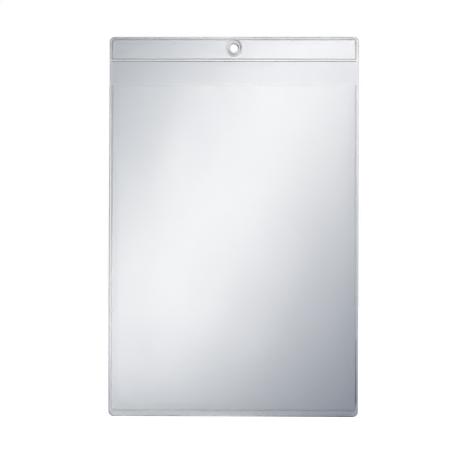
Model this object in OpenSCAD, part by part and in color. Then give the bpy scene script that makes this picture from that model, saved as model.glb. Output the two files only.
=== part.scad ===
// Hanging document pocket: clear film pocket for an A4 sheet, open at the top,
// with a doubled header strip and a moulded eyelet to hang it by.
// Origin: centre of the eyelet's bore. +Z up, +X to the right seen from the
// front, and the front faces -Y. The back film lies on y = 0 .. film_t.

/* [Films] */
// Width of the back film, cut edge to cut edge
sheet_w = 220; // [180:1:330]
// Height of the back film, top edge to bottom edge
sheet_h = 335; // [260:1:480]
// Thickness of each film
film_t = 0.3; // [0.2:0.05:0.5]
// Radius of the four outer corners
corner_r = 4.5; // [3:0.5:6]
// Room between the front film and the back film
pocket_gap = 0.4; // [0.35:0.05:2]

/* [Header] */
// Height of the header strip, with its welds
header_h = 22; // [20:0.5:40]
// Distance from the top edge down to the eyelet's centre
eyelet_drop = 10.2; // [10:0.1:12]
// Height of the weld along the header's top edge
header_top_weld = 2.3; // [1.5:0.1:2.5]
// Height of the weld along the header's lower edge
header_low_weld = 2.2; // [1.5:0.1:3]
// Thickness of the header strip where it is pressed into the weld
header_weld_t = 0.24; // [0.1:0.02:0.3]

/* [Pocket] */
// Height of the single film between the header strip and the pocket's lip
band_h = 20.4; // [15:0.1:40]
// Width of the two side welds
side_weld_w = 2.4; // [2:0.1:4]
// Height of the bottom weld
bottom_weld_h = 5.3; // [4:0.1:10]
// Clearance between the loose front film and the welds around it
film_clear = 0.3; // [0.3:0.05:0.6]
// Distance from the bend line up to the cut edge of the back film's upper part
bend_gap = 0.8; // [0.75:0.05:2]

/* [Eyelet] */
// Diameter of the eyelet's bore
bore_d = 7; // [6:0.1:8]
// Wall of the eyelet's barrel
barrel_wall = 0.8; // [0.7:0.1:1]
// Outer diameter of the raised ring round the bore
ring_d = 11.8; // [11:0.1:12.4]
// Outer diameter of the flat rim
rim_d = 15.2; // [14:0.1:15.4]
// How far the raised ring stands from the film's middle plane
ring_h = 1.4; // [1.2:0.1:2]
// Height of the flat rim above the film
rim_t = 0.45; // [0.3:0.05:0.5]
// Clearance between the barrel and the punched holes in the films
punch_clear = 0.2; // [0.1:0.05:0.4]
// Play between each half of the eyelet and the film it lies on
seat_clear = 0.04; // [0.04:0.01:0.1]

/* [Hidden] */
$fn = 96;

half_w = sheet_w / 2;
z_top = eyelet_drop;                          // top edge of the back film
z_bot = z_top - sheet_h;                      // bottom edge of the back film
z_strip = z_top - header_h;                   // lower edge of the header strip
z_lip = z_strip - band_h;                     // lip of the front film
z_bend = (z_strip + z_lip) / 2;               // line where the back film bends
z_seam = z_bot + bottom_weld_h;               // inner edge of the bottom weld
z_head_in_hi = z_top - header_top_weld;       // inner edges of the header's welds
z_head_in_lo = z_strip + header_low_weld;
x_in = half_w - side_weld_w;                  // inner edge of the side welds
y_front = -(pocket_gap + film_t);             // outer face of the front film
edge_r = film_t / 2;                          // round edge on a film's turning line
z_hinge = z_seam + film_clear + edge_r;       // line about which the front film opens
barrel_r = bore_d / 2 + barrel_wall;
mouth_r = barrel_wall / 2;                    // rounding of the bore's two mouths
press = 0.02;                                 // how tightly the back ring grips the barrel
seat = film_t + seat_clear;                   // underside of the eyelet's two rims
ring_round = min(0.5, (ring_h - seat) / 2);   // rounding of the front ring's outer edge
back_round = min(0.3, (ring_h - mouth_r - seat) / 2); // the same on the back ring

film = [0.86, 0.88, 0.91, 0.45];
fused = [0.74, 0.77, 0.81, 0.7];
moulded = [0.9, 0.92, 0.94, 0.7];

// Full outline of the pocket, as seen from the front
module outline() {
    translate([-half_w + corner_r, z_bot]) square([sheet_w - 2 * corner_r, sheet_h]);
    translate([-half_w, z_bot + corner_r]) square([sheet_w, sheet_h - 2 * corner_r]);
    for (x = [-half_w + corner_r, half_w - corner_r])
        for (z = [z_bot + corner_r, z_top - corner_r])
            translate([x, z]) circle(corner_r);
}

// The part of the outline between two heights and two widths
module cut(x0, x1, z0, z1) {
    intersection() {
        outline();
        translate([x0, z0]) square([x1 - x0, z1 - z0]);
    }
}

// Stands a flat outline upright, filling y0 .. y1
module upright(y0, y1) {
    translate([0, y1, 0]) rotate([90, 0, 0]) linear_extrude(y1 - y0) children();
}

// Round film edge along X, at one height and at the film's middle plane
module round_edge(x0, x1, y, z) {
    translate([x0, y, z]) rotate([0, 90, 0]) cylinder(r = edge_r, h = x1 - x0);
}

// Turns a profile of radius and height round the eyelet's axis, height towards the front
module round_y() {
    rotate([90, 0, 0]) rotate_extrude() children();
}

// Rectangle given by its two corners
module rect(r0, r1, h0, h1) {
    translate([r0, h0]) square([r1 - r0, h1 - h0]);
}

// Back film behind the header, down to the bend line
module back_sheet_header() {
    color(film) upright(0, film_t) difference() {
        cut(-half_w, half_w, z_bend + bend_gap, z_top);
        circle(barrel_r + punch_clear);
    }
}

// Header strip inside its welds
module header_strip() {
    color(film) upright(-film_t, 0) difference() {
        rect(-x_in, x_in, z_head_in_lo, z_head_in_hi);
        circle(barrel_r + punch_clear);
    }
}

// Welds round the header strip, pressed a little thinner than the film
module header_weld_top() {
    color(fused) upright(-header_weld_t, 0) cut(-half_w, half_w, z_head_in_hi, z_top);
}

module header_weld_bottom() {
    color(fused) upright(-header_weld_t, 0) cut(-half_w, half_w, z_strip, z_head_in_lo);
}

module header_weld_left() {
    color(fused) upright(-header_weld_t, 0) cut(-half_w, -x_in, z_head_in_lo, z_head_in_hi);
}

module header_weld_right() {
    color(fused) upright(-header_weld_t, 0) cut(x_in, half_w, z_head_in_lo, z_head_in_hi);
}

// Front half of the eyelet: raised ring, flat rim and the barrel through both films
module eyelet_front() {
    rb = bore_d / 2;
    rr = ring_d / 2;
    ro = rim_d / 2;
    straight = ring_h - mouth_r;
    color(moulded) round_y() {
        // raised ring with rounded edges
        rect(rb, rr - ring_round, seat, straight);
        rect(rb + mouth_r, rr - ring_round, seat, ring_h);
        rect(rb + mouth_r, rr, seat, ring_h - ring_round);
        translate([rb + mouth_r, straight]) circle(mouth_r);
        translate([rr - ring_round, ring_h - ring_round]) circle(ring_round);
        // flat rim
        rect(rb + mouth_r, ro - rim_t / 2, seat, seat + rim_t);
        translate([ro - rim_t / 2, seat + rim_t / 2]) circle(rim_t / 2);
        // barrel, round at its far end
        rect(rb, barrel_r, -straight, straight);
        translate([rb + mouth_r, -straight]) circle(mouth_r);
    }
}

// Back half of the eyelet: ring pressed onto the barrel from behind
module eyelet_back() {
    ri = barrel_r - press;
    rr = ring_d / 2;
    ro = rim_d / 2;
    top = ring_h - mouth_r;
    color(moulded) round_y() mirror([0, 1]) {
        rect(ri, rr - back_round, seat, top);
        rect(ri, rr, seat, top - back_round);
        translate([rr - back_round, top - back_round]) circle(back_round);
        rect(ri, ro - rim_t / 2, seat, seat + rim_t);
        translate([ro - rim_t / 2, seat + rim_t / 2]) circle(rim_t / 2);
    }
}

// Back film from the bend line down to the bottom edge, with a round edge on the bend line
module back_sheet_pocket() {
    color(film) {
        upright(0, film_t) cut(-half_w, half_w, z_bot, z_bend);
        round_edge(-half_w, half_w, film_t / 2, z_bend);
    }
}

// Seams that join the front film to the back film
module side_weld_left() {
    color(fused) upright(y_front, 0) cut(-half_w, -x_in, z_seam, z_lip);
}

module side_weld_right() {
    color(fused) upright(y_front, 0) cut(x_in, half_w, z_seam, z_lip);
}

module bottom_weld() {
    color(fused) upright(y_front, 0) cut(-half_w, half_w, z_bot, z_seam);
}

// Front film of the pocket, free at its lip, with a round edge on its turning line
module front_sheet() {
    color(film) {
        upright(y_front, y_front + film_t)
            rect(-x_in + film_clear, x_in - film_clear, z_hinge, z_lip);
        round_edge(-x_in + film_clear, x_in - film_clear, y_front + film_t / 2, z_hinge);
    }
}

back_sheet_header();
header_strip();
header_weld_top();
header_weld_bottom();
header_weld_left();
header_weld_right();
eyelet_front();
eyelet_back();
back_sheet_pocket();
side_weld_left();
side_weld_right();
bottom_weld();
front_sheet();
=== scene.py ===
import math

import bmesh
import bpy
import numpy as np
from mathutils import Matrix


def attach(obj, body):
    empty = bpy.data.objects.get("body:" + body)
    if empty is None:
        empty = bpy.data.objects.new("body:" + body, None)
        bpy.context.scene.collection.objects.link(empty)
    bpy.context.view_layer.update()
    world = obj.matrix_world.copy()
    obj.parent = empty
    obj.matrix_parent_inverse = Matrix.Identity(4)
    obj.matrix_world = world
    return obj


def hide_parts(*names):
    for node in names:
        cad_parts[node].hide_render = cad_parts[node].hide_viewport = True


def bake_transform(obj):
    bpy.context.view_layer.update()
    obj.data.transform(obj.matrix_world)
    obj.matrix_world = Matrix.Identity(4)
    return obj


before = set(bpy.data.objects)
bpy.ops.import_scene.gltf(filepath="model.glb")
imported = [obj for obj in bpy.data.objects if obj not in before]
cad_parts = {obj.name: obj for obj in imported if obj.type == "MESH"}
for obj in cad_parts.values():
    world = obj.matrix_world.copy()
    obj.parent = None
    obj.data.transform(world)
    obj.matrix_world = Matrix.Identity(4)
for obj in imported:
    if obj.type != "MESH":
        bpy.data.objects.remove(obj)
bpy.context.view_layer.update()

# ---------------------------------------------------------------- sizes, in mm
# The same numbers as the construction model: origin at the eyelet's bore,
# +Z up, the front faces -Y, the films meet on y = 0.
HALF_W = 110.0            # half width of the film
Z_TOP = 10.2              # top edge
Z_BOT = -324.8            # bottom edge
Z_STRIP = -11.8           # cut edge of the header strip
Z_LIP = -32.2             # lip of the front film
Z_SEAM = -319.5           # inner edge of the bottom weld
Z_HEAD_HI = 7.9           # inner edges of the header's welds
Z_HEAD_LO = -9.6
X_IN = 107.6              # inner edge of the side welds
CORNER = 4.5              # corner radius
FILM_T = 0.3              # film thickness
PUNCH_R = 4.5             # punched holes for the eyelet's barrel
PLAY = 0.015              # air between films that lie on each other


def smooth(t):
    t = np.clip(t, 0.0, 1.0)
    return t * t * (3.0 - 2.0 * t)


# ---------------------------------------------------------------- film shapes
def ripple(x, z, phase):
    """Slow, uneven waves of a soft film, about one unit high."""
    return (
        0.50 * np.sin(2 * np.pi * (x / 93.0 + z / 171.0) + 0.7 + phase)
        + 0.32 * np.sin(2 * np.pi * (x / 58.0 - z / 124.0) + 2.1 - 1.7 * phase)
        + 0.36 * np.sin(2 * np.pi * (x / 211.0 + z / 71.0) + 4.0 + 0.6 * phase)
        + 0.14 * np.sin(2 * np.pi * (x / 31.0 + z / 47.0) + 1.3 + 2.3 * phase)
    )


def hang(x, z):
    """How the whole pocket bows away from its flat plane below the header."""
    low = smooth((-45.0 - z) / 150.0)
    curl = 0.5 * (np.clip(-210.0 - z, 0.0, None) / 115.0) ** 2
    foot = 1.3 * (np.clip(-280.0 - z, 0.0, None) / 45.0) ** 2
    side = 0.55 * np.sin(np.pi * x / 220.0 + 0.35)
    return low * (0.9 * np.cos(np.pi * x / 240.0) - 0.45 + side) + curl + foot


def inside(x, z, reach):
    """0 on the pocket's welds, 1 from `reach` mm inside them; open towards the lip."""
    side = smooth((X_IN - np.abs(x)) / reach)
    foot = smooth((z - Z_SEAM) / reach)
    return side * foot


def back_mid(x, z):
    """Middle plane of the back film."""
    y = FILM_T / 2 + PLAY + hang(x, z)
    belly = inside(x, z, 26.0) * smooth((Z_LIP + 4.0 - z) / 40.0)
    y = y + belly * (0.25 + 0.16 * ripple(x, z, 0.4))
    # the bare band between header and lip comes forward where it leaves the header
    band = smooth((Z_STRIP - 0.4 - z) / 4.0) * smooth((z - Z_LIP - 2.0) / 12.0)
    band = band * smooth((HALF_W - 0.5 - np.abs(x)) / 6.0)
    y = y - 0.08 * band
    bare = smooth((Z_STRIP - z) / 6.0) * smooth((z - Z_LIP + 4.0) / 6.0)
    return y + bare * 0.05 * ripple(x * 1.6, z * 1.6, 1.9)


def head_mid(x, z):
    """Middle plane of the header strip: it lies on the back film, a little pillowed."""
    room = smooth((X_IN - np.abs(x)) / 14.0) * smooth((Z_HEAD_HI - z) / 6.0) * smooth((z - Z_HEAD_LO) / 6.0)
    clear = smooth((np.hypot(x, z) - 8.2) / 9.0)
    return -(FILM_T / 2 + PLAY) - room * clear * (0.16 + 0.05 * ripple(2.0 * x, 2.0 * z, 0.9))


def front_mid(x, z):
    """Middle plane of the front film: on the back film at the welds, off it inside."""
    y = -(FILM_T / 2 + PLAY) + hang(x, z)
    near = inside(x, z, 7.0)
    wide = inside(x, z, 60.0)
    y = y - near * (0.42 + 0.20 * ripple(x, z, 2.6) * smooth((X_IN - np.abs(x)) / 30.0))
    y = y - wide * (0.45 + 0.30 * smooth((z + 150.0) / 118.0))
    # the free lip turns out a little
    return y - 0.10 * inside(x, z, 20.0) * smooth((z - (Z_LIP - 9.0)) / 9.0) ** 2


# ---------------------------------------------------------------- mesh makers
def new_object(name, verts_mm, faces, materials, crisp=None, caps=()):
    """Mesh object in the scene; edges that turn by more than `crisp` degrees stay sharp, and so
    do those between two points of one of the caps."""
    mesh = bpy.data.meshes.new(name)
    mesh.from_pydata((np.asarray(verts_mm, float) * 0.001).tolist(), [], faces)
    for m in materials:
        mesh.materials.append(m)
    bm = bmesh.new()
    bm.from_mesh(mesh)
    bmesh.ops.recalc_face_normals(bm, faces=bm.faces)
    if crisp is not None:
        for e in bm.edges:
            e.smooth = e.calc_face_angle(0.0) < math.radians(crisp)
    for cap in caps:
        for e in bm.edges:
            if e.verts[0].index in cap and e.verts[1].index in cap:
                e.smooth = False
    bm.to_mesh(mesh)
    bm.free()
    mesh.polygons.foreach_set("use_smooth", [True] * len(mesh.polygons))
    mesh.update()
    obj = bpy.data.objects.new(name, mesh)
    bpy.context.scene.collection.objects.link(obj)
    return obj


def spaced(*stretches):
    """Rising positions from (start, end, step) stretches that follow on."""
    out = []
    for a, b, step in stretches:
        n = max(1, int(round((b - a) / step)))
        out += list(np.linspace(a, b, n + 1)[:-1])
    return np.array(out + [stretches[-1][1]])


def mirrored(half):
    """Columns on both sides of x = 0 from those on the right."""
    return np.concatenate([-half[::-1][:-1], half]) if half[0] == 0 else np.concatenate([-half[::-1], half])


def flat_grid(cols, rows, half_w, fixed, hole=None):
    """Vertices (x, z), quads and edge loops of a sheet whose half width varies with height.
    Columns nearer the middle than `fixed` stay straight. hole = (a, b, radius) cuts a round
    hole at the origin out of the box |x| < a, |z| < b, whose sides lie on grid lines."""
    full = cols[-1]
    nr, nc = len(rows), len(cols)
    verts = np.zeros((nr * nc, 2))
    for i, z in enumerate(rows):
        k = (half_w(z) - fixed) / (full - fixed)
        x = np.where(np.abs(cols) > fixed, np.sign(cols) * (fixed + (np.abs(cols) - fixed) * k), cols)
        verts[i * nc:(i + 1) * nc, 0] = x
        verts[i * nc:(i + 1) * nc, 1] = z
    at = np.arange(nr * nc).reshape(nr, nc)
    skip = np.zeros((nr - 1, nc - 1), bool)
    loops = [list(at[0, :]) + list(at[1:, -1]) + list(at[-1, :-1][::-1]) + list(at[1:-1, 0][::-1])]
    extra_v, extra_q = [], []
    if hole is not None:
        a, b, radius = hole
        ja, jb = int(np.argmin(np.abs(cols + a))), int(np.argmin(np.abs(cols - a)))
        ia, ib = int(np.argmin(np.abs(rows + b))), int(np.argmin(np.abs(rows - b)))
        skip[ia:ib, ja:jb] = True
        ring = list(at[ia, ja:jb]) + list(at[ia:ib, jb]) + list(at[ib, ja + 1:jb + 1][::-1]) + list(at[ia + 1:ib + 1, ja][::-1])
        base = verts[ring]
        angle = np.arctan2(base[:, 1], base[:, 0])
        rim = radius * np.stack([np.cos(angle), np.sin(angle)], 1)
        last = ring
        count = len(verts)
        for s in (0.3, 0.58, 0.8, 0.93, 1.0):
            here = list(range(count, count + len(ring)))
            extra_v.append(base * (1 - s) + rim * s)
            for k in range(len(ring)):
                n = (k + 1) % len(ring)
                extra_q.append((last[k], last[n], here[n], here[k]))
            last, count = here, count + len(ring)
        loops.append(last[::-1])
    quads = [
        (at[i, j], at[i, j + 1], at[i + 1, j + 1], at[i + 1, j])
        for i in range(nr - 1) for j in range(nc - 1) if not skip[i, j]
    ] + extra_q
    if extra_v:
        verts = np.concatenate([verts] + extra_v)
    used = np.unique(np.array(quads).ravel())
    slot = -np.ones(len(verts), int)
    slot[used] = np.arange(len(used))
    quads = [tuple(int(slot[k]) for k in q) for q in quads]
    loops = [[int(slot[k]) for k in l] for l in loops]
    return verts[used], quads, loops


def film_object(name, grid, mid, materials, front_painted_light_and_shade=None, rear_painted_light_and_shade=None):
    """A film of real thickness over a flat grid: two faces and a round cut edge. The two mark functions give
    the painted light and painted shade of each face, and the rear one is also pressed in a little."""
    flat, quads, loops = grid
    n = len(flat)
    r = FILM_T / 2
    edge = 0.8 * r
    # the two faces stop short of the outline, and the round edge takes up the rest
    pulled = flat.copy()
    rims = []
    for loop in loops:
        p = flat[loop]
        tangent = np.roll(p, -1, 0) - np.roll(p, 1, 0)
        tangent /= np.maximum(np.linalg.norm(tangent, axis=1, keepdims=True), 1e-9)
        out = np.stack([tangent[:, 1], -tangent[:, 0]], 1)
        pulled[loop] = p - edge * out
        rims.append((loop, p))
    y = mid(pulled[:, 0], pulled[:, 1])
    front = np.stack([pulled[:, 0], y - r, pulled[:, 1]], 1)
    back = np.stack([pulled[:, 0], y + r, pulled[:, 1]], 1)
    shade = np.zeros(2 * n)
    if front_painted_light_and_shade is not None:
        shade[:n] = front_painted_light_and_shade(pulled[:, 0], pulled[:, 1])
    if rear_painted_light_and_shade is not None:
        shade[n:] = rear_painted_light_and_shade(pulled[:, 0], pulled[:, 1])
        back[:, 1] -= 0.06 * np.clip(shade[n:], 0.0, 1.0)
    verts = [front, back]
    faces = [q for q in quads] + [tuple(k + n for k in q[::-1]) for q in quads]
    count = 2 * n
    for loop, p in rims:
        ym = mid(p[:, 0], p[:, 1])
        m = len(loop)
        rings = []
        for bulge, lift in ((0.72, -0.7), (1.0, 0.0), (0.72, 0.7)):
            q = pulled[loop] + (p - pulled[loop]) * bulge
            verts.append(np.stack([q[:, 0], ym + lift * r, q[:, 1]], 1))
            rings.append(list(range(count, count + m)))
            count += m
        chain = [list(loop)] + rings + [[k + n for k in loop]]
        for u, v in zip(chain[:-1], chain[1:]):
            for k in range(m):
                j = (k + 1) % m
                faces.append((u[k], v[k], v[j], u[j]))
    obj = new_object(name, np.concatenate(verts), faces, materials, 30.0)
    shade_points(obj, np.concatenate([shade, np.zeros(count - 2 * n)]))
    return obj


def arc(cx, cz, r, a0, a1, n):
    a = np.radians(np.linspace(a0, a1, n))
    return np.stack([cx + r * np.cos(a), cz + r * np.sin(a)], 1)


def run(p, q, n):
    t = np.linspace(0, 1, n + 2)[1:-1, None]
    return np.asarray(p) * (1 - t) + np.asarray(q) * t


def box_path(x, lo, hi, r_hi, r_lo, n_side, n_end, n_arc=10):
    """Closed rounded rectangle, anticlockwise from the lower right corner."""
    c1 = arc(x - r_lo, lo + r_lo, r_lo, -90, 0, n_arc)
    c2 = arc(x - r_hi, hi - r_hi, r_hi, 0, 90, n_arc)
    c3 = arc(-x + r_hi, hi - r_hi, r_hi, 90, 180, n_arc)
    c4 = arc(-x + r_lo, lo + r_lo, r_lo, 180, 270, n_arc)
    return np.concatenate([
        c1, run(c1[-1], c2[0], n_end), c2, run(c2[-1], c3[0], n_side), c3,
        run(c3[-1], c4[0], n_end), c4, run(c4[-1], c1[0], n_side)])


def u_path(x, lip, foot, r, n_side, n_foot, n_arc=10):
    """Open U from the lip down the left side, along the bottom and up the right side."""
    c1 = arc(-x + r, foot + r, r, 180, 270, n_arc)
    c2 = arc(x - r, foot + r, r, -90, 0, n_arc)
    start, end = np.array([[-x, lip]]), np.array([[x, lip]])
    return np.concatenate([
        start, run(start[0], c1[0], n_side), c1, run(c1[-1], c2[0], n_foot), c2,
        run(c2[-1], end[0], n_side), end])


def shade_points(obj, values):
    """Stores how far each point of a clear edge is dark (1) or lit (-1), for its material."""
    layer = obj.data.attributes.new("edge_shade", "FLOAT", "POINT")
    layer.data.foreach_set("value", np.asarray(values, np.float32).ravel())


def seam_object(name, outer, inner, closed, section, roles, base, materials):
    """A welded seam between an outer and an inner line. section lists (from, along, height,
    role): along is mm inwards from the outer ('o') or inner ('i') line, height is mm in front
    of the plane y = 0, and roles gives each role's shade along the seam."""
    d = inner - outer
    d = d / np.linalg.norm(d, axis=1, keepdims=True)
    n, m = len(outer), len(section)
    verts = np.zeros((n, m, 3))
    shade = np.zeros((n, m))
    for k, (start, along, height, role) in enumerate(section):
        p = (outer if start == "o" else inner) + d * along
        verts[:, k, 0], verts[:, k, 2] = p[:, 0], p[:, 1]
        verts[:, k, 1] = base(p[:, 0], p[:, 1]) - height
        shade[:, k] = roles[role]
    faces = []
    for i in range(n if closed else n - 1):
        j = (i + 1) % n
        for k in range(m):
            l = (k + 1) % m
            faces.append((i * m + k, j * m + k, j * m + l, i * m + l))
    caps = []
    if not closed:
        caps = [tuple(range(m)), tuple((n - 1) * m + k for k in range(m))[::-1]]
    obj = new_object(name, verts.reshape(-1, 3), faces + caps, materials, caps=[set(c) for c in caps])
    shade_points(obj, shade)
    return obj


def turned_object(name, profile, materials, n=96):
    """A ring turned about the eyelet's axis. profile lists closed (radius, height, role) points
    with the height towards the front; a role is a shade, or a function of the turn."""
    m = len(profile)
    turn = np.arange(n) * 2 * np.pi / n
    verts = np.zeros((n, m, 3))
    shade = np.zeros((n, m))
    for k, (r, h, role) in enumerate(profile):
        verts[:, k, 0] = np.cos(turn) * r
        verts[:, k, 1] = -h
        verts[:, k, 2] = np.sin(turn) * r
        shade[:, k] = role(turn) if callable(role) else role
    faces = [
        (i * m + k, (i + 1) % n * m + k, (i + 1) % n * m + (k + 1) % m, i * m + (k + 1) % m)
        for i in range(n) for k in range(m)]
    obj = new_object(name, verts.reshape(-1, 3), faces, materials)
    shade_points(obj, shade)
    return obj


def with_role(points, role):
    return [(float(r), float(h), role) for r, h in points]


# ---------------------------------------------------------------- materials
def nodes_of(name):
    mat = bpy.data.materials.new(name)
    mat.use_nodes = True
    tree = mat.node_tree
    tree.nodes.clear()
    out = tree.nodes.new("ShaderNodeOutputMaterial")
    bsdf = tree.nodes.new("ShaderNodeBsdfPrincipled")
    tree.links.new(bsdf.outputs["BSDF"], out.inputs["Surface"])
    return mat, tree, bsdf


def noise(tree, coord, scale, detail=2.0, rough=0.5, stretch=(1.0, 1.0, 1.0)):
    mapping = tree.nodes.new("ShaderNodeMapping")
    mapping.inputs["Scale"].default_value = stretch
    tree.links.new(coord, mapping.inputs["Vector"])
    n = tree.nodes.new("ShaderNodeTexNoise")
    n.inputs["Scale"].default_value = scale
    n.inputs["Detail"].default_value = detail
    n.inputs["Roughness"].default_value = rough
    tree.links.new(mapping.outputs["Vector"], n.inputs["Vector"])
    return n.outputs["Fac"]


def ramp(tree, value, stops, blend="LINEAR"):
    r = tree.nodes.new("ShaderNodeValToRGB")
    r.color_ramp.interpolation = blend
    e = r.color_ramp.elements
    e[0].position, e[0].color = stops[0][0], (*stops[0][1], 1.0)
    e[1].position, e[1].color = stops[-1][0], (*stops[-1][1], 1.0)
    for pos, col in stops[1:-1]:
        e.new(pos).color = (*col, 1.0)
    tree.links.new(value, r.inputs["Fac"])
    return r.outputs["Color"]


def span(tree, value, lo, hi, a=0.0, b=1.0):
    r = tree.nodes.new("ShaderNodeMapRange")
    r.inputs["From Min"].default_value = lo
    r.inputs["From Max"].default_value = hi
    r.inputs["To Min"].default_value = a
    r.inputs["To Max"].default_value = b
    tree.links.new(value, r.inputs["Value"])
    return r.outputs["Result"]


def math_node(tree, op, a, b):
    n = tree.nodes.new("ShaderNodeMath")
    n.operation = op
    for k, v in enumerate((a, b)):
        if isinstance(v, (int, float)):
            n.inputs[k].default_value = v
        else:
            tree.links.new(v, n.inputs[k])
    return n.outputs["Value"]


def bump(tree, height, strength, distance, normal=None):
    b = tree.nodes.new("ShaderNodeBump")
    b.inputs["Strength"].default_value = strength
    b.inputs["Distance"].default_value = distance
    tree.links.new(height, b.inputs["Height"])
    if normal is not None:
        tree.links.new(normal, b.inputs["Normal"])
    return b.outputs["Normal"]


PLAIN = 0.92              # share of the film's tone where it is neither lit nor dark


def film_material(name, tone, alpha, rough=0.34, seed=0.0):
    """Clear calendered film: cool grey cast with faint warm and green drifts, fine pressed grain, long roller
    streaks and hazy handling marks. Its colour is multiplied by the painted light and painted shade stored on its
    points."""
    mat, tree, bsdf = nodes_of(name)
    coord = tree.nodes.new("ShaderNodeTexCoord").outputs["Object"]
    shift = tree.nodes.new("ShaderNodeMapping")
    shift.inputs["Location"].default_value = (seed, 0.37 * seed, -0.61 * seed)
    tree.links.new(coord, shift.inputs["Vector"])
    coord = shift.outputs["Vector"]
    cast = noise(tree, coord, 11.0, 3.0, 0.55)
    t = [c / PLAIN for c in tone]
    colour = ramp(tree, cast, [
        (0.25, (t[0] * 0.990, t[1] * 0.999, t[2] * 1.012)),
        (0.45, (t[0] * 0.998, t[1] * 1.000, t[2] * 1.004)),
        (0.55, (t[0] * 0.994, t[1] * 1.003, t[2] * 0.999)),
        (0.75, (t[0] * 1.004, t[1] * 0.998, t[2] * 1.006))], "B_SPLINE")
    # marks: painted light and painted shade stored on the film's points, multiplied into its colour
    marks = edge_colour(tree, coord, (1.0, 1.0, 1.0), (PLAIN,) * 3, (0.25, 0.255, 0.26), 30.0, 0.2)
    mix = tree.nodes.new("ShaderNodeMix")
    mix.data_type = "RGBA"
    mix.blend_type = "MULTIPLY"
    mix.inputs[0].default_value = 1.0
    tree.links.new(colour, mix.inputs[6])
    tree.links.new(marks, mix.inputs[7])
    tree.links.new(mix.outputs[2], bsdf.inputs["Base Color"])
    streak = noise(tree, coord, 60.0, 3.0, 0.6, (1.0, 1.0, 0.02))
    haze = noise(tree, coord, 16.0, 4.0, 0.6)
    r = math_node(tree, "ADD", span(tree, haze, 0.2, 0.8, rough - 0.04, rough + 0.04),
                  span(tree, streak, 0.3, 0.7, -0.025, 0.025))
    tree.links.new(r, bsdf.inputs["Roughness"])
    grain = noise(tree, coord, 1500.0, 2.0, 0.6)
    slow = noise(tree, coord, 24.0, 2.0, 0.5, (1.0, 1.0, 0.35))
    nrm = bump(tree, slow, 0.10, 0.0012)
    nrm = bump(tree, streak, 0.05, 0.0004, nrm)
    nrm = bump(tree, grain, 0.06, 0.00008, nrm)
    tree.links.new(nrm, bsdf.inputs["Normal"])
    bsdf.inputs["Alpha"].default_value = alpha
    bsdf.inputs["IOR"].default_value = 1.53
    bsdf.inputs["Specular IOR Level"].default_value = 0.55
    return mat


def edge_colour(tree, coord, lit, plain, dark, patch, depth):
    """Colour of a clear edge from its stored shade, uneven along the edge."""
    shade = tree.nodes.new("ShaderNodeAttribute")
    shade.attribute_type = "GEOMETRY"
    shade.attribute_name = "edge_shade"
    uneven = span(tree, noise(tree, coord, patch, 3.0, 0.6), 0.3, 0.7, 1.0 - depth, 1.0 + depth)
    value = math_node(tree, "MULTIPLY", shade.outputs["Fac"], uneven)
    return ramp(tree, span(tree, value, -1.0, 1.0), [(0.0, lit), (0.5, plain), (1.0, dark)])


def weld_material(name, lit, plain, dark, alpha, rough=0.26):
    """Fused film: a pressed web with painted shade on the lines along its bead and cut edge and painted light
    or shade on its web and flank, mottled and rippled as the welding bar left it."""
    mat, tree, bsdf = nodes_of(name)
    coord = tree.nodes.new("ShaderNodeTexCoord").outputs["Object"]
    tree.links.new(edge_colour(tree, coord, lit, plain, dark, 30.0, 0.09), bsdf.inputs["Base Color"])
    mottled = noise(tree, coord, 90.0, 4.0, 0.6)
    fine = noise(tree, coord, 700.0, 3.0, 0.65)
    tree.links.new(span(tree, fine, 0.3, 0.7, rough - 0.08, rough + 0.1), bsdf.inputs["Roughness"])
    nrm = bump(tree, mottled, 0.20, 0.0006)
    nrm = bump(tree, fine, 0.14, 0.0001, nrm)
    tree.links.new(nrm, bsdf.inputs["Normal"])
    bsdf.inputs["Alpha"].default_value = alpha
    bsdf.inputs["IOR"].default_value = 1.53
    bsdf.inputs["Specular IOR Level"].default_value = 0.6
    return mat


def moulded_material(name, lit, plain, dark, alpha):
    """Clear moulded plastic: glossy, with faint flow clouds and a satin mould skin; its colour carries the painted
    shade and painted highlights stored on its points.
    """
    mat, tree, bsdf = nodes_of(name)
    coord = tree.nodes.new("ShaderNodeTexCoord").outputs["Object"]
    tree.links.new(edge_colour(tree, coord, lit, plain, dark, 420.0, 0.22), bsdf.inputs["Base Color"])
    fine = noise(tree, coord, 1800.0, 2.0, 0.5)
    flow = noise(tree, coord, 320.0, 4.0, 0.6)
    tree.links.new(span(tree, fine, 0.3, 0.7, 0.30, 0.42), bsdf.inputs["Roughness"])
    nrm = bump(tree, flow, 0.15, 0.0003)
    nrm = bump(tree, fine, 0.10, 0.00005, nrm)
    tree.links.new(nrm, bsdf.inputs["Normal"])
    bsdf.inputs["Alpha"].default_value = alpha
    bsdf.inputs["IOR"].default_value = 1.49
    bsdf.inputs["Specular IOR Level"].default_value = 0.35
    bsdf.inputs["Coat Weight"].default_value = 0.12
    bsdf.inputs["Coat Roughness"].default_value = 0.28
    return mat


BACK_FILM = film_material("back_film_pvc", (0.745, 0.760, 0.781), 0.70, seed=0.0)
HEAD_FILM = film_material("header_film_pvc", (0.692, 0.706, 0.726), 0.45, seed=3.1)
FRONT_FILM = film_material("front_film_pvc", (0.700, 0.714, 0.734), 0.45, seed=7.7)
WELD = weld_material("welded_pvc", (0.97, 0.972, 0.975), (0.78, 0.783, 0.788), (0.06, 0.063, 0.067), 0.62)
MOULDED = moulded_material("eyelet_clear", (0.98, 0.982, 0.985), (0.75, 0.755, 0.76), (0.01, 0.011, 0.012), 0.88)

# ---------------------------------------------------------------- films
corner_rows_hi = Z_TOP - CORNER + CORNER * np.sin(np.radians(np.linspace(0, 90, 17)))
corner_rows_lo = Z_BOT + CORNER - CORNER * np.sin(np.radians(np.linspace(90, 0, 9)))


def rounded_half(z):
    dz = max(z - (Z_TOP - CORNER), (Z_BOT + CORNER) - z, 0.0)
    return HALF_W - CORNER + math.sqrt(max(CORNER * CORNER - dz * dz, 0.0))


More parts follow.
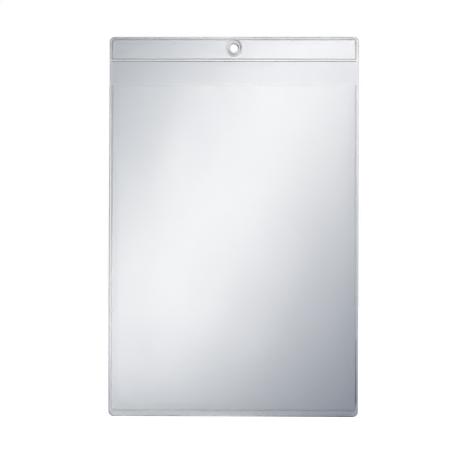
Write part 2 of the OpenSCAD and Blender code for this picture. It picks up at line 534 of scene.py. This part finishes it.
HOLE_A, HOLE_B = 9.0, 5.6
half_cols = spaced((0.0, HOLE_A, 1.0), (HOLE_A, 96.0, 3.5), (96.0, 106.0, 1.6), (106.0, 108.4, 0.3),
                   (108.4, HALF_W, 0.8))
back_rows = np.concatenate([
    corner_rows_lo[:-1],
    spaced((Z_BOT + CORNER, -317.6, 0.3), (-317.6, -306.0, 1.6), (-306.0, -44.0, 3.6), (-44.0, -32.0, 1.0),
           (-32.0, -16.6, 0.7), (-16.6, -8.0, 0.3), (-8.0, -HOLE_B, 0.8), (-HOLE_B, HOLE_B, 1.0))[:-1],
    spaced((HOLE_B, Z_TOP - CORNER, 0.1))[:-1],
    corner_rows_hi])


def line_at(d, wide=0.42):
    return np.exp(-(d / wide) ** 2)


def weld_marks_painted_shade(x, z):
    """Painted shade along the lines where the welding bars show on the rear of the back film."""
    ax = np.abs(x)
    in_head = smooth((z - Z_STRIP) / 0.5)
    in_box = smooth((z - Z_HEAD_LO + 0.3) / 0.3) * smooth((Z_HEAD_HI + 0.3 - z) / 0.3)
    in_pocket = smooth((Z_LIP - z) / 6.0) * smooth((z - Z_SEAM + 0.3) / 0.3)
    across = smooth((X_IN + 0.3 - ax) / 0.3)
    side = line_at(ax - X_IN) * np.maximum(in_box, in_pocket)
    level = np.maximum(line_at(z - Z_HEAD_HI), line_at(z - Z_HEAD_LO))
    level = np.maximum(level, line_at(z - Z_SEAM)) * across
    cut = line_at(z - Z_STRIP - 0.1) * 0.8
    return 0.34 * np.maximum(np.maximum(side, level), cut) * np.where(z > -100.0, 1.0, 0.8)


def margin_light(x, z):
    """The bars also press the bare band's margins, at the sides and under the header strip; painted light
    stands for the light these catch."""
    band = smooth((Z_STRIP - z) / 0.6) * smooth((z - Z_LIP) / 0.6)
    side = -0.55 * band * smooth((np.abs(x) - X_IN + 0.3) / 0.6)
    under = -1.0 * line_at(z - Z_STRIP + 0.6, 0.45) * smooth((x + 5.0) / 40.0) * smooth((X_IN - np.abs(x)) / 1.0)
    # painted gradient across the bare band: painted shade on the left and painted light right of the middle
    band_painted_gradient = 0.045 * smooth((-35.0 - x) / 55.0) - 0.28 * smooth((x + 25.0) / 40.0) * smooth((90.0 - x) / 50.0)
    return np.minimum(side, under) + band_painted_gradient * band * smooth((X_IN - np.abs(x)) / 1.0)


back_film = film_object(
    "back_film",
    flat_grid(mirrored(half_cols), back_rows, rounded_half, 100.0, (HOLE_A, HOLE_B, PUNCH_R)),
    back_mid, [BACK_FILM], margin_light, weld_marks_painted_shade)

head_half = X_IN - 0.05
head_cols = spaced((0.0, HOLE_A, 1.0), (HOLE_A, 96.0, 3.0), (96.0, head_half, 1.2))
head_rows = spaced((Z_HEAD_LO + 0.05, -HOLE_B, 0.7), (-HOLE_B, HOLE_B, 1.0), (HOLE_B, Z_HEAD_HI - 0.05, 0.55))
header_film = film_object(
    "header_film",
    flat_grid(mirrored(head_cols), head_rows, lambda z: head_half, 90.0, (HOLE_A, HOLE_B, PUNCH_R)),
    head_mid, [HEAD_FILM])

front_half = X_IN - 0.05
front_cols = spaced((0.0, 84.0, 3.2), (84.0, 99.0, 1.6), (99.0, front_half, 0.7))
front_rows = spaced((Z_SEAM + 0.05, -311.0, 0.7), (-311.0, -290.0, 1.6), (-290.0, -48.0, 3.4),
                    (-48.0, -36.0, 1.3), (-36.0, Z_LIP, 0.4))
front_film = film_object(
    "front_film",
    flat_grid(mirrored(front_cols), front_rows, lambda z: front_half, 90.0),
    front_mid, [FRONT_FILM])

# ---------------------------------------------------------------- seams
# Each weld is a pressed web between two lines: the cut edge outside, and inside the bead of film that the bar
# squeezes out, with a flank towards the pocket. The roles paint shade on the cut edge and bead lines, and
# painted light or shade on the web and flank.
HEAD_SECTION = [
    ("o", 0.00, PLAY, "edge"), ("o", -0.03, 0.09, "edge"), ("o", 0.05, 0.23, "edge"),
    ("o", 0.28, 0.31, "edge"), ("o", 0.70, 0.29, "edge"), ("o", 0.86, 0.26, "web"),
    ("i", -0.50, 0.25, "web"), ("i", -0.32, 0.28, "line"), ("i", -0.06, 0.44, "line"),
    ("i", 0.16, 0.51, "line"), ("i", 0.36, 0.49, "line"), ("i", 0.50, 0.46, "flank"),
    ("i", 0.72, 0.39, "flank"), ("i", 0.82, 0.335, "flank"), ("i", -0.02, 0.335, "web"),
    ("i", -0.04, PLAY, "web")]
head_outer = box_path(HALF_W, Z_STRIP, Z_TOP, CORNER, 0.5, 90, 10)
head_inner = box_path(X_IN, Z_HEAD_LO, Z_HEAD_HI, 2.6, 1.0, 90, 10)
hx, hz = head_outer[:, 0], head_outer[:, 1]
on_low = smooth((Z_STRIP + 1.6 - hz) / 1.2)
on_top = smooth((hz - Z_TOP + 3.2) / 2.4)
on_right = smooth(hx / 20.0) * (1 - on_low) * (1 - on_top)
on_left = smooth(-hx / 20.0) * (1 - on_low) * (1 - on_top)
to_right = smooth((hx + 20.0) / 50.0)
far_right = smooth((hx - 15.0) / 60.0)
far_left = smooth((-50.0 - hx) / 40.0)
low_ends = smooth((HALF_W - 0.3 - np.abs(hx)) / 2.2)
# painted shade (above 0) and painted light (below 0) of each role round the header weld, with a lit web under the
# strip
head_roles = {
    "edge": ((0.85 + 0.28 * far_right - 0.15 * far_left) * on_low * low_ends + (0.12 + 0.48 * to_right) * on_top
             + 0.03 * on_left + 0.38 * on_right),
    "web": (-0.80 + 0.45 * far_right) * on_low + (0.10 + 0.13 * to_right) * on_top + 0.03 * on_left - 0.05 * on_right,
    "line": (0.72 + 0.10 * far_right + 0.16 * far_left) * on_low + (0.34 + 0.09 * to_right) * on_top + 0.55 * on_left + 0.58 * on_right,
    "flank": 0.06 * on_low + 0.02 * on_top + 0.05 * on_left + 0.02 * on_right}
header_seam = seam_object("header_seam", head_outer, head_inner, True, HEAD_SECTION, head_roles,
                          lambda x, z: 0.0 * x, [WELD])

# Pocket: the same along the sides and the bottom, where the bead wanders a little.
POCKET_SECTION = [
    ("o", 0.00, PLAY, "edge"), ("o", -0.03, 0.11, "edge"), ("o", 0.06, 0.28, "edge"),
    ("o", 0.30, 0.38, "edge"), ("o", 0.58, 0.35, "edge"), ("o", 0.76, 0.30, "web"),
    ("o", 0.98, 0.27, "web"), ("i", -0.54, 0.27, "inner"), ("i", -0.34, 0.33, "line"),
    ("i", -0.06, 0.54, "line"), ("i", 0.16, 0.64, "line"), ("i", 0.36, 0.62, "line"),
    ("i", 0.52, 0.57, "flank"), ("i", 0.76, 0.47, "flank"), ("i", 0.90, 0.385, "flank"),
    ("i", -0.02, 0.345, "web"), ("i", -0.04, PLAY, "web")]
pocket_outer = u_path(HALF_W, Z_LIP, Z_BOT, CORNER, 120, 110)
pocket_inner = u_path(X_IN, Z_LIP, Z_SEAM, 2.6, 120, 110)
px, pz = pocket_inner[:, 0].copy(), pocket_inner[:, 1].copy()
on_foot = smooth((Z_SEAM + 3.0 - pz) / 3.0) * smooth((X_IN - np.abs(px)) / 4.0)
wander = 0.24 * np.sin(2 * np.pi * px / 41.0 + 0.8) + 0.15 * np.sin(2 * np.pi * px / 17.5 + 2.0)
steady = smooth((px - 5.0) / 25.0)
wander = wander * (1.0 - 0.75 * steady) + 0.30 * steady
pocket_inner[:, 1] += wander * on_foot * smooth((X_IN - np.abs(px)) / 12.0)
drift = 0.40 * smooth((-150.0 - pz) / 150.0) - 0.34 * smooth((-249.0 - pz) / 12.0)
pocket_inner[:, 0] += drift * smooth((px - 95.0) / 10.0)
on_right = smooth(px / 20.0) * (1 - on_foot)
on_left = smooth(-px / 20.0) * (1 - on_foot)
begin = smooth((Z_LIP - 0.5 - pz) / 9.0)
# painted shade (above 0) and painted light (below 0) of the pocket weld's roles, listed by height along the sides and
# by x along the foot
breaks = 0.62 + 0.38 * np.sin(2 * np.pi * px / 63.0 + 1.1) * np.sin(2 * np.pi * px / 28.0 - 0.6)
left_edge = np.interp(pz, [-300.0, -250.0, -169.0, -98.0, -45.0], [1.20, 1.15, 0.85, 0.52, 0.25])
left_line = np.interp(pz, [-306.0, -284.0, -257.0, -222.0, -169.0, -134.0, -98.0, -45.0],
                      [-0.10, -0.30, -0.80, -0.50, 0.30, 0.62, 0.42, 0.30])
right_line = np.interp(pz, [-306.0, -288.0, -266.0, -257.0, -250.0, -222.0, -169.0, -98.0, -45.0],
                       [1.10, 0.66, 0.50, 0.46, -0.10, -0.22, -0.10, 0.14, 0.16])
right_line = right_line * smooth((pz + 316.0) / 6.0)
right_web = np.interp(pz, [-300.0, -266.0, -222.0, -169.0, -120.0], [-1.00, -0.90, -0.65, -0.55, -0.30])
right_edge = np.interp(pz, [-300.0, -266.0, -222.0, -169.0], [-0.70, -0.80, -0.35, 0.00])
right_flank = np.interp(pz, [-300.0, -266.0, -222.0, -169.0, -120.0], [-1.00, -0.90, -0.40, -0.40, -0.15])
foot_edge = np.interp(px, [-92.0, -56.0, -20.0, 0.0, 49.0, 93.0], [0.60, 0.92, 0.20, 0.08, 0.60, 1.00])
foot_web = np.interp(px, [-80.0, -50.0, 20.0, 90.0], [-0.18, -0.40, -0.34, -0.60])
foot_line = np.interp(px, [-90.0, -75.0, -55.0, -35.0, 20.0, 60.0], [0.20, 0.04, 0.04, 0.24, 0.22, 0.36])
low_right = smooth((-250.0 - pz) / 8.0) * on_right
pocket_roles = {
    "edge": begin * (left_edge * on_left + right_edge * on_right) + foot_edge * on_foot,
    "web": begin * (-0.40 * on_left + right_web * on_right) + foot_web * on_foot,
    "line": begin * (left_line * on_left + right_line * on_right) + foot_line * on_foot * breaks,
    "flank": begin * right_flank * on_right}
pocket_roles["inner"] = pocket_roles["web"] * (1.0 - low_right) + right_line * low_right
pocket_seam = seam_object("pocket_seam", pocket_outer, pocket_inner, False, POCKET_SECTION,
                          pocket_roles, hang, [WELD])

# ---------------------------------------------------------------- eyelet
# Two clear moulded halves: a crowned ring with a flat rim and the barrel through the films,
# and the ring that is pressed onto the barrel from behind.
def lobe(turn, at, wide):
    """1 at one angle of the turn, falling off round it; angles in degrees."""
    d = (np.degrees(turn) - at + 180.0) % 360.0 - 180.0
    return np.exp(-(d / wide) ** 2)


# painted shade (above 0) and painted highlights (below 0) round the eyelet's turn: the dark arcs and glints that
# refraction and reflection put in the clear rings
def bore_shade(turn):
    return 0.22 + 1.20 * lobe(turn, 62, 52) + 0.12 * lobe(turn, 0, 30) - 0.34 * lobe(turn, 265, 50)


def crown_inner_painted_shade_and_highlight(turn):
    return (0.85 * lobe(turn, 62, 42) - 0.50 * lobe(turn, 0, 25) + 0.20 * lobe(turn, 205, 30)
            - 0.25 * lobe(turn, 280, 40))


def crown_outer_painted_shade_and_highlight(turn):
    return -0.50 + 1.25 * lobe(turn, 220, 46) - 0.45 * lobe(turn, 60, 40) + 0.50 * lobe(turn, 278, 24)


def ring_shade(turn):
    return (-0.25 + 0.85 * lobe(turn, 10, 30) + 0.92 * lobe(turn, 264, 32) + 0.28 * lobe(turn, 325, 30)
            + 0.35 * lobe(turn, 215, 25) - 0.30 * lobe(turn, 140, 40))


def rim_light(turn):
    return -0.30 + 1.00 * lobe(turn, 24, 38) + 0.28 * lobe(turn, 180, 20) + 0.30 * lobe(turn, 280, 35)


def rim_shade(turn):
    return 0.90 * lobe(turn, 60, 32) + 0.24 * lobe(turn, 185, 25) + 0.25 * lobe(turn, 255, 35)


eyelet_ring = turned_object("eyelet_ring", [
    (3.50, -1.00, 0.2), (3.50, -0.35, 0.2), (3.50, 0.35, 0.4), (3.50, 0.92, bore_shade),
    *with_role(arc(3.88, 0.98, 0.38, 170, 100, 7), bore_shade),
    (4.02, 1.375, bore_shade), (4.22, 1.392, bore_shade), (4.34, 1.397, crown_inner_painted_shade_and_highlight),
    (4.60, 1.40, crown_inner_painted_shade_and_highlight), (4.72, 1.40, crown_outer_painted_shade_and_highlight), (5.10, 1.385, crown_outer_painted_shade_and_highlight), (5.24, 1.370, ring_shade),
    *with_role(arc(5.36, 0.86, 0.54, 66, 4, 8), ring_shade), (5.90, 0.84, ring_shade),
    *with_role(arc(6.10, 0.99, 0.20, 200, 270, 5), ring_shade), (6.20, 0.788, ring_shade),
    (6.38, 0.785, rim_light), (6.65, 0.780, rim_light), (6.86, 0.778, rim_light), (7.04, 0.776, rim_shade),
    *with_role(arc(7.375, 0.565, 0.225, 80, -80, 9), rim_shade),
    (6.60, 0.34, 0.0), (5.20, 0.34, 0.0), (4.36, 0.34, 0.0), (4.30, 0.28, 0.0),
    (4.30, -0.40, 0.0), (4.30, -1.00, 0.2),
    *with_role(arc(3.90, -1.00, 0.40, -15, -165, 9), bore_shade)], [MOULDED])
eyelet_washer = turned_object("eyelet_washer", [
    (4.31, -0.34, 0.0), (4.31, -0.62, 0.0), (4.31, -0.90, 0.3),
    *with_role(arc(4.40, -0.91, 0.09, 190, 262, 4), 0.5),
    (4.70, -1.0, -0.3), (5.35, -1.0, -0.3),
    *with_role(arc(5.60, -0.70, 0.30, -85, -5, 7), ring_shade),
    *with_role(arc(6.06, -0.95, 0.17, 170, 95, 4), ring_shade),
    (6.35, -0.785, -0.2), (7.10, -0.775, -0.2),
    *with_role(arc(7.375, -0.565, 0.225, -80, 80, 9), rim_shade),
    (6.60, -0.34, 0.0), (5.40, -0.34, 0.0)], [MOULDED])

# ---------------------------------------------------------------- what rides on what
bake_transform(back_film)
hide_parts("back_sheet_header", "back_sheet_pocket")

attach(header_film, "header")
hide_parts("header_strip")

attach(header_seam, "header")
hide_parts("header_weld_top", "header_weld_bottom", "header_weld_left", "header_weld_right")

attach(eyelet_ring, "header")
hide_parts("eyelet_front")

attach(eyelet_washer, "header")
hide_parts("eyelet_back")

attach(pocket_seam, "pocket")
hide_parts("side_weld_left", "side_weld_right", "bottom_weld")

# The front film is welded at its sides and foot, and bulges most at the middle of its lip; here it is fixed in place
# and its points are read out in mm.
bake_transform(front_film)
spots = np.zeros(len(front_film.data.vertices) * 3)
front_film.data.vertices.foreach_get("co", spots)
spots = spots.reshape(-1, 3) * 1000.0
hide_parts("front_sheet")

# clear plastic lets the light through to what lies behind it
for piece in (back_film, header_film, front_film, header_seam, pocket_seam, eyelet_ring, eyelet_washer):
    piece.visible_shadow = False

# ---------------------------------------------------------------- stage, light, camera
scene = bpy.context.scene
scene.view_settings.view_transform = "Standard"
scene.view_settings.look = "None"
scene.cycles.transparent_max_bounces = 32

world = bpy.data.worlds.new("studio")
scene.world = world
world.use_nodes = True
wt = world.node_tree
wt.nodes.clear()
w_out = wt.nodes.new("ShaderNodeOutputWorld")
w_mix = wt.nodes.new("ShaderNodeMixShader")
w_path = wt.nodes.new("ShaderNodeLightPath")
w_dim = wt.nodes.new("ShaderNodeBackground")
w_dim.inputs["Color"].default_value = (0.665, 0.945, 1.385, 1.0)
w_dim.inputs["Strength"].default_value = 0.17
w_white = wt.nodes.new("ShaderNodeBackground")
w_white.inputs["Color"].default_value = (1.0, 1.0, 1.0, 1.0)
w_white.inputs["Strength"].default_value = 1.0
w_seen = wt.nodes.new("ShaderNodeMath")
w_seen.operation = "MAXIMUM"
wt.links.new(w_path.outputs["Is Camera Ray"], w_seen.inputs[0])
wt.links.new(w_path.outputs["Is Transmission Ray"], w_seen.inputs[1])
wt.links.new(w_seen.outputs["Value"], w_mix.inputs["Fac"])
wt.links.new(w_dim.outputs["Background"], w_mix.inputs[1])
wt.links.new(w_white.outputs["Background"], w_mix.inputs[2])
wt.links.new(w_mix.outputs["Shader"], w_out.inputs["Surface"])

floor_mesh = bpy.data.meshes.new("floor")
floor_mesh.from_pydata([(-6, -6, -0.42), (6, -6, -0.42), (6, 6, -0.42), (-6, 6, -0.42)], [], [(0, 1, 2, 3)])
floor = bpy.data.objects.new("floor", floor_mesh)
scene.collection.objects.link(floor)
floor_mat, floor_tree, floor_bsdf = nodes_of("pale_floor")
floor_bsdf.inputs["Base Color"].default_value = (0.9, 0.9, 0.9, 1.0)
floor_bsdf.inputs["Roughness"].default_value = 0.9
floor_bsdf.inputs["Emission Color"].default_value = (1.0, 1.0, 1.0, 1.0)
floor_bsdf.inputs["Emission Strength"].default_value = 1.0
floor_mesh.materials.append(floor_mat)
floor.visible_diffuse = False
floor.visible_glossy = False
floor.visible_shadow = False


def strip_light(name, loc, tilt, width, length, power, spread, toward_back=True):
    """A long softbox with a grid that faces the film, leaning from upright by `tilt` degrees."""
    data = bpy.data.lights.new(name, "AREA")
    data.shape = "RECTANGLE"
    data.size, data.size_y = width, length
    data.energy = power
    data.spread = math.radians(spread)
    data.color = (1.0, 0.948, 0.883)
    light = bpy.data.objects.new(name, data)
    light.location = loc
    if toward_back:
        light.rotation_euler = (math.radians(90), math.radians(tilt), 0)
    else:
        light.rotation_euler = (math.radians(90), math.radians(tilt), math.radians(180))
    light.visible_camera = False
    light.visible_transmission = False
    scene.collection.objects.link(light)
    return light


# two softboxes, one high on the right and one low on the left, and the same behind; they stand
# outside the pocket's swing about its header
for side, facing in ((-1.0, True), (1.0, False)):
    end = "front" if facing else "rear"
    strip_light("high_strip_" + end, (0.0969, side * 0.50, 0.0668), -side * 32.0, 0.1644, 0.5789,
                0.4340, 70.7, facing)
    strip_light("low_strip_" + end, (-0.1150, side * 0.50, -0.2636), -side * 75.0, 0.1520, 0.2407,
                0.1010, 53.2, facing)

cam_data = bpy.data.cameras.new("camera")
cam_data.lens = 135.0
cam_data.sensor_width = 36.0
cam_data.clip_start = 0.01
cam = bpy.data.objects.new("camera", cam_data)
scene.collection.objects.link(cam)
MM_PER_PX = 0.882
distance = 464 * MM_PER_PX * 0.001 * cam_data.lens / cam_data.sensor_width
ROLL, TURN, RISE = math.radians(-0.17), math.radians(1.3), math.radians(0.6)
cam.location = (
    -0.00130 + distance * math.sin(TURN) * math.cos(RISE),
    -distance * math.cos(TURN) * math.cos(RISE),
    -0.16206 - distance * math.sin(RISE))
cam.rotation_euler = (math.radians(90.0) + RISE, ROLL, TURN)
scene.camera = cam
